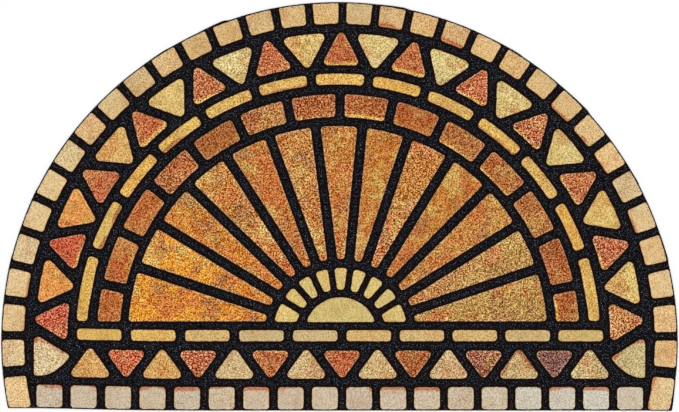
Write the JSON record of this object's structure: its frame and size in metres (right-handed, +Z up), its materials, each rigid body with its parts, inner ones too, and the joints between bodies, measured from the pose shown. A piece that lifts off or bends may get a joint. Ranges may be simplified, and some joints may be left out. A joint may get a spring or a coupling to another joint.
{
  "type": "half-round doormat",
  "caption": "Half-round crumb-rubber doormat with raised, flocked mosaic tiles in a sunburst: rays, bricks, bars, a zigzag of triangles and a border of squares.",
  "frame": {"origin": "on the underside, at the middle of the mat's bounding box, where it rests on the floor", "axes": "+X along the straight edge, +Y towards the top of the arch, +Z up out of the tiled face"},
  "size_m": [0.7619, 0.46, 0.008],
  "materials": {
    "rubber": "moulded recycled crumb rubber, black, matt, with a fine crumb grain",
    "flock": "short nylon flock on the raised tiles, heat printed in straw, sand, amber, brick, red, cream and stone tones"
  },
  "bodies": {
    "root": {"mat": "rubber"}
  },
  "joints": []
}
